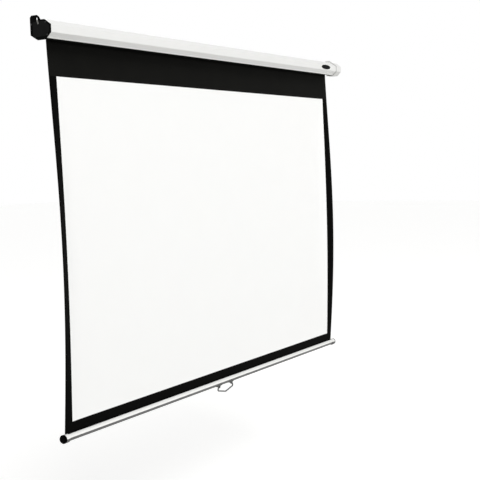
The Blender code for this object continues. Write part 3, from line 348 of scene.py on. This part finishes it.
def finishedSteel(name, look):
    # steel under zinc, oil, oxide or paint: cloudy patches and small marks, drawn out along a drawn piece
    material, tree, shader = startMaterial(name, look)
    where = addNode(tree, "ShaderNodeTexCoord").outputs["Object"]
    cloud = addNode(tree, "ShaderNodeTexNoise", {
        "Vector": where, "Scale": 1 / plating["cloud"], "Detail": 5.0, "Roughness": 0.6})
    mark = look["mark"]
    along = addNode(tree, "ShaderNodeMapping", {
        "Vector": where, "Scale": (1 / mark / look.get("drawn", 1), 1 / mark, 1 / mark)})
    marks = addNode(tree, "ShaderNodeTexNoise", {
        "Vector": along.outputs["Vector"], "Scale": 1.0, "Detail": 2.0})
    tone = addNode(tree, "ShaderNodeMix", {
        "Factor": cloud.outputs["Fac"], "A": hexColour(look["low"]), "B": hexColour(look["high"])},
        data_type="RGBA")
    rough = addNode(tree, "ShaderNodeMapRange", {
        "Value": cloud.outputs["Fac"], "To Min": look["Roughness"] - plating["smoother"],
        "To Max": look["Roughness"] + plating["duller"]})
    bump = addNode(tree, "ShaderNodeBump", {
        "Height": marks.outputs["Fac"], "Distance": plating["markDeep"], "Strength": plating["markStrength"]})
    feed(tree, shader, {"Base Color": tone.outputs["Result"], "Roughness": rough.outputs["Result"],
                        "Normal": bump.outputs["Normal"]})
    return material


barTube = {
    "IOR": 1.5,
    "roughLow": 0.36,
    "roughHigh": 0.42,
    "coatLight": "#EFEFED",
    "coatDark": "#EAEAE8",
    "drawnLong": 1250 * mm,         # drawing lines under the lacquer
    "drawnWide": 1.4286 * mm,
    "drawnDeep": 0.005 * mm,
    "drawnStrength": 0.4,
    "flank": "#4E4E4D",             # painted shade on the lower flank, dark grey
    "flankTop": 1.2 * mm,           # above the tube's middle, where it begins
    "flankBlend": 0.3 * mm,
}


def lacqueredBarTube(name):
    # drawn aluminium, lacquered pale, with painted shade on its lower flank: an even half gloss with faint
    # lines along it
    coat = barTube
    material, tree, shader = startMaterial(name, coat)
    where = addNode(tree, "ShaderNodeTexCoord").outputs["Object"]
    height = addNode(tree, "ShaderNodeSeparateXYZ", {"Vector": where}).outputs["Z"]
    low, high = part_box("weight_bar")
    # painted shade: below a line just above the middle, the tube is coloured dark grey as its shaded side
    top = (low[2] + high[2]) / 2 + coat["flankTop"]
    abovePaintedShade = addNode(tree, "ShaderNodeMapRange", {
        "Value": height, "From Min": top - coat["flankBlend"], "From Max": top + coat["flankBlend"]},
        interpolation_type="SMOOTHSTEP")
    along = addNode(tree, "ShaderNodeMapping", {
        "Vector": where, "Scale": (1 / coat["drawnLong"], 1 / coat["drawnWide"], 1 / coat["drawnWide"])})
    lines = addNode(tree, "ShaderNodeTexNoise", {
        "Vector": along.outputs["Vector"], "Scale": 1.0, "Detail": 3.0})
    pale = addNode(tree, "ShaderNodeMix", {
        "Factor": lines.outputs["Fac"], "A": hexColour(coat["coatDark"]), "B": hexColour(coat["coatLight"])},
        data_type="RGBA")
    tone = addNode(tree, "ShaderNodeMix", {
        "Factor": abovePaintedShade.outputs["Result"], "A": hexColour(coat["flank"]), "B": pale.outputs["Result"]},
        data_type="RGBA")
    bump = addNode(tree, "ShaderNodeBump", {
        "Height": lines.outputs["Fac"], "Distance": coat["drawnDeep"], "Strength": coat["drawnStrength"]})
    rough = addNode(tree, "ShaderNodeMapRange", {
        "Value": lines.outputs["Fac"], "To Min": coat["roughLow"], "To Max": coat["roughHigh"]})
    feed(tree, shader, {"Base Color": tone.outputs["Result"], "Roughness": rough.outputs["Result"],
                        "Normal": bump.outputs["Normal"]})
    return material


# the bar caps are moulded in two shots, a sleeve to match the tube, with the same painted shade on its lower
# flank, and a black end disc
barCapDisc = {"thick": 5.8 * mm, "blend": 0.2 * mm, "tone": "#030303", "gloss": 0.015, "sleeveGloss": 0.5}


def blackenDisc(material, capName):
    # the second shot is matt black and meets the first in a clean line
    tree, shader, plain, where = reopen(material)
    outer = max((corner[0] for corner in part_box(capName)), key=abs)
    inner = outer - math.copysign(barCapDisc["thick"], outer)
    blend = math.copysign(barCapDisc["blend"], outer)
    along = addNode(tree, "ShaderNodeSeparateXYZ", {"Vector": where}).outputs["X"]
    onSleeve = addNode(tree, "ShaderNodeMapRange", {
        "Value": along, "From Min": inner + blend, "From Max": inner - blend})
    tone = addNode(tree, "ShaderNodeMix", {
        "Factor": onSleeve.outputs["Result"], "A": hexColour(barCapDisc["tone"]), "B": plain},
        data_type="RGBA")
    gloss = addNode(tree, "ShaderNodeMapRange", {
        "Value": onSleeve.outputs["Result"], "To Min": barCapDisc["gloss"],
        "To Max": barCapDisc["sleeveGloss"]})
    feed(tree, shader, {"Base Color": tone.outputs["Result"], "Specular IOR Level": gloss.outputs["Result"]})
    return material


# the hanging cloth, white with a printed black border
cloth = {
    "width": 1.884,             # outer edge to outer edge
    "viewWidth": 1.809,
    "viewHeight": 1.131,
    "border": 37.5 * mm,
    "foot": -1.307,             # Z where it ends over the hem rod
    "barTop": -1.3055,
    "caseBottom": -31 * mm,
    "plane": -19.325 * mm,      # Y of the hanging sheet
    "thick": 0.45 * mm,
    "curlDepth": 28 * mm,       # how far the side edges lean out
    "curlWidth": 118 * mm,
    "curlLow": 1.15,            # above 1 the widest curl is below the middle
    "across": 96,
    "crowd": 0.35,              # how much the columns crowd towards the curling edges
    "leadRows": 6,
    "sheetRows": 110,
    "hemRows": 4,
    "leadFoot": -23.5 * mm,     # Z just below the wound turns, where the sheet hangs free
    "hemHead": -1.302,          # Z just above the bar caps, where it goes with the bar
    "hemStart": 0.05 * mm,      # left between the gathered sheet and the hem
    "travel": 1.2697,           # how far the bar rises
}
weave = {
    "thread": 2.17 * mm,        # drawn coarser than the real 0.4 mm so that it shows close up
    "waver": 0.6,               # how unevenly the threads lie
    "strength": 0.35,
}
clothCoat = {"IOR": 1.45, "Specular IOR Level": 0.03}
frontCoat = clothCoat | {
    "whiteLow": "#F9F9F8",
    "whiteHigh": "#FCFCFB",
    "whiteRough": 0.9,
    "bandLow": "#0F0F0E",       # the drop above the picture is rolled on
    "bandHigh": "#161614",
    "rimLow": "#020202",        # the narrow border is printed over it in a denser black
    "rimHigh": "#050504",
    "inkRough": 0.74,
    "inkBlend": 0.4 * mm,       # the print's soft edge
    "patch": 111.1 * mm,        # slow unevenness of the coat
    "weaveDeep": 0.06 * mm,
}
backCoat = clothCoat | {
    "Roughness": 0.8,
    "Sheen Weight": 0.01,
    "Sheen Roughness": 0.4,
    "low": "#0F0F0E",
    "high": "#171716",
    "patch": 71.43 * mm,
    "weaveDeep": 0.1 * mm,
}


def threadBump(tree, lay, deep):
    # warp and weft as two crossed waves, whose bands come every pi / 10 of their scale
    warp, weft = [addNode(tree, "ShaderNodeTexWave", {
        "Vector": lay, "Scale": math.pi / 10 / weave["thread"], "Distortion": weave["waver"], "Detail": 1.0},
        bands_direction=way, wave_profile="SIN").outputs["Fac"] for way in "XY"]
    upper = addNode(tree, "ShaderNodeMath", {0: warp, 1: weft}, operation="MAXIMUM")
    return addNode(tree, "ShaderNodeBump", {
        "Height": upper.outputs["Value"], "Distance": deep, "Strength": weave["strength"]}).outputs["Normal"]


def coatedScreenFront():
    # matt white acrylic coat on glass-fibre cloth, with a printed black border: no gloss, a dense even face
    coat = frontCoat
    material, tree, shader = startMaterial("acrylicCoatedGlassCloth", coat)
    lay = addNode(tree, "ShaderNodeUVMap", uv_map="clothLay").outputs["UV"]
    split = addNode(tree, "ShaderNodeSeparateXYZ", {"Vector": lay})
    side = addNode(tree, "ShaderNodeMath", {0: split.outputs["X"]}, operation="ABSOLUTE")
    blend = coat["inkBlend"]
    half = cloth["viewWidth"] / 2
    bottom = cloth["barTop"] + cloth["border"]
    top = bottom + cloth["viewHeight"]
    inSide = addNode(tree, "ShaderNodeMapRange", {
        "Value": side.outputs["Value"], "From Min": half - blend, "From Max": half + blend,
        "To Min": 1.0, "To Max": 0.0})
    inFoot = addNode(tree, "ShaderNodeMapRange", {
        "Value": split.outputs["Y"], "From Min": bottom - blend, "From Max": bottom + blend})
    inHead = addNode(tree, "ShaderNodeMapRange", {
        "Value": split.outputs["Y"], "From Min": top - blend, "From Max": top + blend,
        "To Min": 1.0, "To Max": 0.0})
    both = addNode(tree, "ShaderNodeMath", {0: inFoot.outputs["Result"], 1: inHead.outputs["Result"]},
                   operation="MULTIPLY")
    inside = addNode(tree, "ShaderNodeMath", {0: both.outputs["Value"], 1: inSide.outputs["Result"]},
                     operation="MULTIPLY")
    patch = addNode(tree, "ShaderNodeTexNoise", {"Vector": lay, "Scale": 1 / coat["patch"], "Detail": 4.0})
    white, band, rim = [addNode(tree, "ShaderNodeMix", {
        "Factor": patch.outputs["Fac"], "A": hexColour(coat[name + "Low"]),
        "B": hexColour(coat[name + "High"])}, data_type="RGBA").outputs["Result"]
        for name in ("white", "band", "rim")]
    black = addNode(tree, "ShaderNodeMix", {"Factor": inHead.outputs["Result"], "A": band, "B": rim},
                    data_type="RGBA")
    tone = addNode(tree, "ShaderNodeMix", {
        "Factor": inside.outputs["Value"], "A": black.outputs["Result"], "B": white}, data_type="RGBA")
    rough = addNode(tree, "ShaderNodeMapRange", {
        "Value": inside.outputs["Value"], "To Min": coat["inkRough"], "To Max": coat["whiteRough"]})
    feed(tree, shader, {"Base Color": tone.outputs["Result"], "Roughness": rough.outputs["Result"],
                        "Normal": threadBump(tree, lay, coat["weaveDeep"])})
    return material


def blackClothBack():
    # the light-stopping black back of the same cloth: the weave shows a little more
    material, tree, shader = startMaterial("blackBackedGlassCloth", backCoat)
    lay = addNode(tree, "ShaderNodeUVMap", uv_map="clothLay").outputs["UV"]
    patch = addNode(tree, "ShaderNodeTexNoise", {
        "Vector": lay, "Scale": 1 / backCoat["patch"], "Detail": 5.0})
    tone = addNode(tree, "ShaderNodeMix", {
        "Factor": patch.outputs["Fac"], "A": hexColour(backCoat["low"]), "B": hexColour(backCoat["high"])},
        data_type="RGBA")
    feed(tree, shader, {"Base Color": tone.outputs["Result"],
                        "Normal": threadBump(tree, lay, backCoat["weaveDeep"])})
    return material


def curlOut(x, z):
    # how far the unsupported side edges lean into the room
    hang = (cloth["caseBottom"] - z) / (cloth["caseBottom"] - cloth["barTop"])
    if hang <= 0 or hang >= 1:
        return 0.0
    inset = cloth["width"] / 2 - abs(x)
    share = max(0.0, 1 - inset / cloth["curlWidth"])
    return cloth["curlDepth"] * share ** 2 * math.sin(math.pi * hang ** cloth["curlLow"])


def closedStrip(name, front, back, lays, finishes):
    # a thin closed sheet from two grids of places, its front in slot 0 and everything else in slot 1
    work = bmesh.new()
    lay = work.loops.layers.uv.new("clothLay")
    rows = len(front)
    columns = len(front[0])
    frontGrid = [[work.verts.new(p) for p in row] for row in front]
    backGrid = [[work.verts.new(p) for p in row] for row in back]
    where = {}
    for r in range(rows):
        for c in range(columns):
            where[frontGrid[r][c]] = lays[r][c]
            where[backGrid[r][c]] = lays[r][c]

    def addFace(corners, slot):
        face = work.faces.new(corners)
        face.material_index = slot
        face.smooth = True
        for loop in face.loops:
            loop[lay].uv = where[loop.vert]

    for r in range(rows - 1):
        for c in range(columns - 1):
            addFace((frontGrid[r][c], frontGrid[r + 1][c], frontGrid[r + 1][c + 1], frontGrid[r][c + 1]), 0)
            addFace((backGrid[r][c], backGrid[r][c + 1], backGrid[r + 1][c + 1], backGrid[r + 1][c]), 1)
    for r in range(rows - 1):
        addFace((frontGrid[r][0], backGrid[r][0], backGrid[r + 1][0], frontGrid[r + 1][0]), 1)
        addFace((frontGrid[r][-1], frontGrid[r + 1][-1], backGrid[r + 1][-1], backGrid[r][-1]), 1)
    for c in range(columns - 1):
        addFace((frontGrid[0][c], frontGrid[0][c + 1], backGrid[0][c + 1], backGrid[0][c]), 1)
        addFace((frontGrid[-1][c], backGrid[-1][c], backGrid[-1][c + 1], frontGrid[-1][c + 1]), 1)
    mesh = bpy.data.meshes.new(name)
    work.to_mesh(mesh)
    work.free()
    for finish in finishes:
        mesh.materials.append(finish)
    return bpy.data.objects.new(name, mesh)


def clothStrip(name, high, low, rows, finishes, body):
    # one height of the sheet, from Z high to Z low, in the same print and the same curl as the rest
    even = [2 * i / cloth["across"] - 1 for i in range(cloth["across"] + 1)]
    xs = [cloth["width"] / 2 * (cloth["crowd"] * math.sin(math.pi / 2 * share) + (1 - cloth["crowd"]) * share)
          for share in even]
    zs = [high + (low - high) * i / rows for i in range(rows + 1)]
    skin = cloth["thick"] / 2
    front = [[(x, cloth["plane"] - curlOut(x, z) - skin, z) for x in xs] for z in zs]
    back = [[(x, cloth["plane"] - curlOut(x, z) + skin, z) for x in xs] for z in zs]
    lays = [[(x, z) for x in xs] for z in zs]
    return finishPiece(closedStrip(name, front, back, lays, finishes), body)


def hangCloth(finishes):
    # the lead stays behind the roller, the hem goes with the bar, and the sheet between them gets a mesh of
    # its own
    leadFoot = cloth["leadFoot"]
    hemHead = cloth["hemHead"]
    lead = clothStrip("clothLead", 0.0, leadFoot, cloth["leadRows"], finishes, "case")
    piece = clothStrip("hangingCloth", leadFoot, hemHead, cloth["sheetRows"], finishes, "case")
    hem = clothStrip("clothHem", hemHead - cloth["hemStart"], cloth["foot"], cloth["hemRows"],
                     finishes, "bar")
    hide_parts("screen_cloth")
    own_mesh(piece)


# the turns that stay on the roller, black back outwards
woundTurns = {
    "axisY": -42.5 * mm,
    "radius": 21.125 * mm,      # where the cloth starts on the tube
    "pitch": 0.65 * mm,         # from one turn to the next
    "turns": 2,
    "steps": 40,                # round one turn
    "across": 8,
}


def windCloth(finishes):
    wound = woundTurns
    skin = cloth["thick"] / 2
    xs = [cloth["width"] / 2 * (2 * i / wound["across"] - 1) for i in range(wound["across"] + 1)]
    inner = []
    outer = []
    lays = []
    for i in range(wound["steps"] * wound["turns"] + 1):
        turned = 2 * math.pi * i / wound["steps"]
        radius = wound["radius"] + wound["pitch"] * (wound["turns"] - i / wound["steps"])
        for rows, r in ((inner, radius - skin), (outer, radius + skin)):
            rows.append([(x, wound["axisY"] + r * math.cos(turned), r * math.sin(turned)) for x in xs])
        lays.append([(x, radius * turned) for x in xs])
    piece = closedStrip("woundTurns", inner, outer, lays, finishes)
    for face in piece.data.polygons:
        face.flip()
    finishPiece(piece, "roller")
    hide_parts("wound_cloth")


# a blank oval plate on the case's front, with a bright wire rim
badge = {
    "x": 0.828,
    "z": 3.4 * mm,
    "long": 88 * mm,
    "tall": 21.5 * mm,
    "thick": 0.6 * mm,
    "dome": 0.5,            # share of the thickness that falls away to the edge
    "lift": 0.02 * mm,      # the back stands this clear of the case
    "steps": 48,            # round the oval
    "rings": 5,
    "crease": 40,           # degrees above which an edge stays sharp
    "rim": 0.7 * mm,
    "rimOut": 0.75,         # share of the wire's radius that stands out of the case
    "rimSmooth": 3,
}
badgeFace = {
    "IOR": 1.5,
    "Roughness": 0.3,
    "Specular IOR Level": 0.02,
    "low": "#080809",
    "high": "#0E0E0F",
    "fleck": 1.111 * mm,
    "fleckDeep": 0.01 * mm,
    "fleckStrength": 0.3,
}


def badgeEnamel():
    # dark enamel, poured to a dome and stoved: a smooth soft gloss over faint flecks of pigment
    material, tree, shader = startMaterial("stovedDarkEnamel", badgeFace)
    where = addNode(tree, "ShaderNodeTexCoord").outputs["Object"]
    fleck = addNode(tree, "ShaderNodeTexNoise", {
        "Vector": where, "Scale": 1 / badgeFace["fleck"], "Detail": 2.0})
    tone = addNode(tree, "ShaderNodeMix", {
        "Factor": fleck.outputs["Fac"], "A": hexColour(badgeFace["low"]), "B": hexColour(badgeFace["high"])},
        data_type="RGBA")
    bump = addNode(tree, "ShaderNodeBump", {
        "Height": fleck.outputs["Fac"], "Distance": badgeFace["fleckDeep"],
        "Strength": badgeFace["fleckStrength"]})
    feed(tree, shader, {"Base Color": tone.outputs["Result"], "Normal": bump.outputs["Normal"]})
    return material


def makeBadge(faceFinish, rimFinish):
    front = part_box("case_shell")[0][1]
    steps = badge["steps"]
    rings = badge["rings"]

    def onOval(i, share):
        turn = 2 * math.pi * i / steps
        return (badge["x"] + badge["long"] / 2 * share * math.cos(turn),
                badge["z"] + badge["tall"] / 2 * share * math.sin(turn))

    work = bmesh.new()
    grid = []
    for r in range(1, rings + 1):
        share = r / rings
        rise = badge["thick"] * (1 - badge["dome"] * share ** 4)
        places = [onOval(i, share) for i in range(steps)]
        grid.append([work.verts.new((x, front - rise, z)) for x, z in places])
    middle = work.verts.new((badge["x"], front - badge["thick"], badge["z"]))
    foot = [work.verts.new((v.co.x, front - badge["lift"], v.co.z)) for v in grid[-1]]
    for i in range(steps):
        j = (i + 1) % steps
        work.faces.new((middle, grid[0][i], grid[0][j]))
        for r in range(rings - 1):
            work.faces.new((grid[r][i], grid[r + 1][i], grid[r + 1][j], grid[r][j]))
        work.faces.new((grid[-1][i], foot[i], foot[j], grid[-1][j]))
    work.faces.new(foot)
    bmesh.ops.recalc_face_normals(work, faces=work.faces)
    mesh = bpy.data.meshes.new("badgePlate")
    work.to_mesh(mesh)
    work.free()
    mesh.shade_smooth()
    mesh.set_sharp_from_angle(angle=math.radians(badge["crease"]))
    mesh.materials.append(faceFinish)
    finishPiece(bpy.data.objects.new("badgePlate", mesh), "case")

    wire = bpy.data.curves.new("badgeRim", "CURVE")
    wire.dimensions = "3D"
    wire.bevel_depth = badge["rim"]
    wire.bevel_resolution = badge["rimSmooth"]
    spline = wire.splines.new("POLY")
    spline.points.add(steps - 1)
    for i, point in enumerate(spline.points):
        x, z = onOval(i, 1.0)
        point.co = (x, front - badge["rim"] * badge["rimOut"], z, 1)
    spline.use_cyclic_u = True
    spline.use_smooth = True
    wire.materials.append(rimFinish)
    finishPiece(bpy.data.objects.new("badgeRim", wire), "case")


finishOf = {
    "white_powder_coat": powderCoatOverExtrusion(),
    "black_plastic": mouldedPlastic("mouldedBlackAbs", blackCap),
    "pale_grey_plastic": mouldedPlastic("mouldedPaleGreyAbs", greyCap),
    "natural_nylon": mouldedPlastic("mouldedNylon", nylonPlug),
    "bright_steel": finishedSteel("zincPlatedSteel", zincSteel),
    "spring_steel": finishedSteel("oiledSpringSteel", springWire),
    "grey_coated_steel": finishedSteel("greyPaintDippedSteel", dippedSteel),
    "satin_aluminium": lacqueredBarTube("lacqueredAluminiumWithPaintedShade"),
    "screen_cloth": blackClothBack(),
}
for part in frame["record"]["subparts"]:
    dress(part["node"], finishOf[part["material_slot"]])

plug = mouldedPlastic("mouldedMattBlackAbs", plugBlack)
liner = finishedSteel("dullPressedSteel", linerSteel)
blackened = finishedSteel("blackOxideSteel", oxideSteel)
for side in ("left", "right"):
    dress("eyelet_liner_" + side, liner)
    dress("bar_cap_" + side, blackenDisc(lacqueredBarTube("twoShotBarCapWithPaintedShade_" + side), "bar_cap_" + side))
    dress("bar_plug_" + side, plug)
for letter in "abc":
    dress("cap_screw_left_" + letter, blackened)
dress("end_cap_left", paintCapRimShade(mouldedPlastic("blackAbsWithPaintedRimShade", blackCap)))
dress("end_cap_right", paintSleeveShadow(mouldedPlastic("paleGreyAbsWithPaintedShadow", greyCap)))

clothFinishes = (coatedScreenFront(), finishOf["screen_cloth"])
hangCloth(clothFinishes)
windCloth(clothFinishes)
print("cloth hung and wound")

makeBadge(badgeEnamel(), finishedSteel("polishedSteelRim", badgeRim))
print("badge plate set")


# floor, world and lamps
studio = {
    "floorZ": -1.95,
    "floorReach": 30.0,
    "floorColour": "#D0D0CE",
    "floorRough": 0.9,
    "floorGlow": 0.65,      # for what the camera, gloss and glass see, so the floor reads as white
    "worldLight": 0.42,     # what the bright room adds to the lamps
    "aim": (0, 0, -0.65),
    "lamps": {
        "key": {"power": 655.0, "place": (-4.6, -6.6, 6.4), "size": 5.0},
        "fill": {"power": 92.0, "place": (3.4, -5.0, -0.9), "size": 2.8},
    },
}


def seenRays(tree):
    # 1 for what the camera sees straight, in gloss or through glass, and 0 for the light that falls on things
    rays = addNode(tree, "ShaderNodeLightPath").outputs
    seen = addNode(tree, "ShaderNodeMath", {0: rays["Is Camera Ray"], 1: rays["Is Glossy Ray"]},
                   operation="MAXIMUM")
    through = addNode(tree, "ShaderNodeMath", {0: seen.outputs["Value"], 1: rays["Is Transmission Ray"]},
                      operation="MAXIMUM")
    return through.outputs["Value"]


def makeFloor():
    reach = studio["floorReach"]
    corners = [(-reach, -reach), (reach, -reach), (reach, reach), (-reach, reach)]
    mesh = bpy.data.meshes.new("studioFloor")
    mesh.from_pydata([(x, y, studio["floorZ"]) for x, y in corners], [], [(0, 1, 2, 3)])
    floor = bpy.data.objects.new("studioFloor", mesh)
    bpy.context.scene.collection.objects.link(floor)
    # painted board, dull enough that it only takes soft shadows
    material, tree, shader = startMaterial("palePaintedBoard", {"Roughness": studio["floorRough"]})
    shader.inputs["Base Color"].default_value = hexColour(studio["floorColour"])
    glow = addNode(tree, "ShaderNodeEmission", {"Color": (1, 1, 1, 1), "Strength": studio["floorGlow"]})
    none = addNode(tree, "ShaderNodeEmission", {"Color": (0, 0, 0, 1), "Strength": 0.0})
    pick = addNode(tree, "ShaderNodeMixShader", {
        0: seenRays(tree), 1: none.outputs["Emission"], 2: glow.outputs["Emission"]})
    total = addNode(tree, "ShaderNodeAddShader", {0: shader.outputs["BSDF"], 1: pick.outputs["Shader"]})
    tree.links.new(total.outputs["Shader"], tree.nodes["Material Output"].inputs["Surface"])
    mesh.materials.append(material)


def lightStudio():
    world = bpy.data.worlds.new("softRoom")
    world.use_nodes = True
    bpy.context.scene.world = world
    tree = world.node_tree
    strength = addNode(tree, "ShaderNodeMapRange", {
        "Value": seenRays(tree), "To Min": studio["worldLight"], "To Max": 1.0})
    room = tree.nodes["Background"]
    room.inputs["Color"].default_value = (1, 1, 1, 1)
    tree.links.new(strength.outputs["Result"], room.inputs["Strength"])

    for name, look in studio["lamps"].items():
        lamp = bpy.data.lights.new(name, "AREA")
        lamp.energy = look["power"]
        lamp.size = look["size"]
        holder = bpy.data.objects.new(name, lamp)
        holder.location = look["place"]
        aim = Vector(studio["aim"]) - Vector(look["place"])
        holder.rotation_euler = aim.to_track_quat("-Z", "Y").to_euler()
        bpy.context.scene.collection.objects.link(holder)
    bpy.context.scene.view_settings.view_transform = "Standard"


makeFloor()
lightStudio()
print("studio lit")
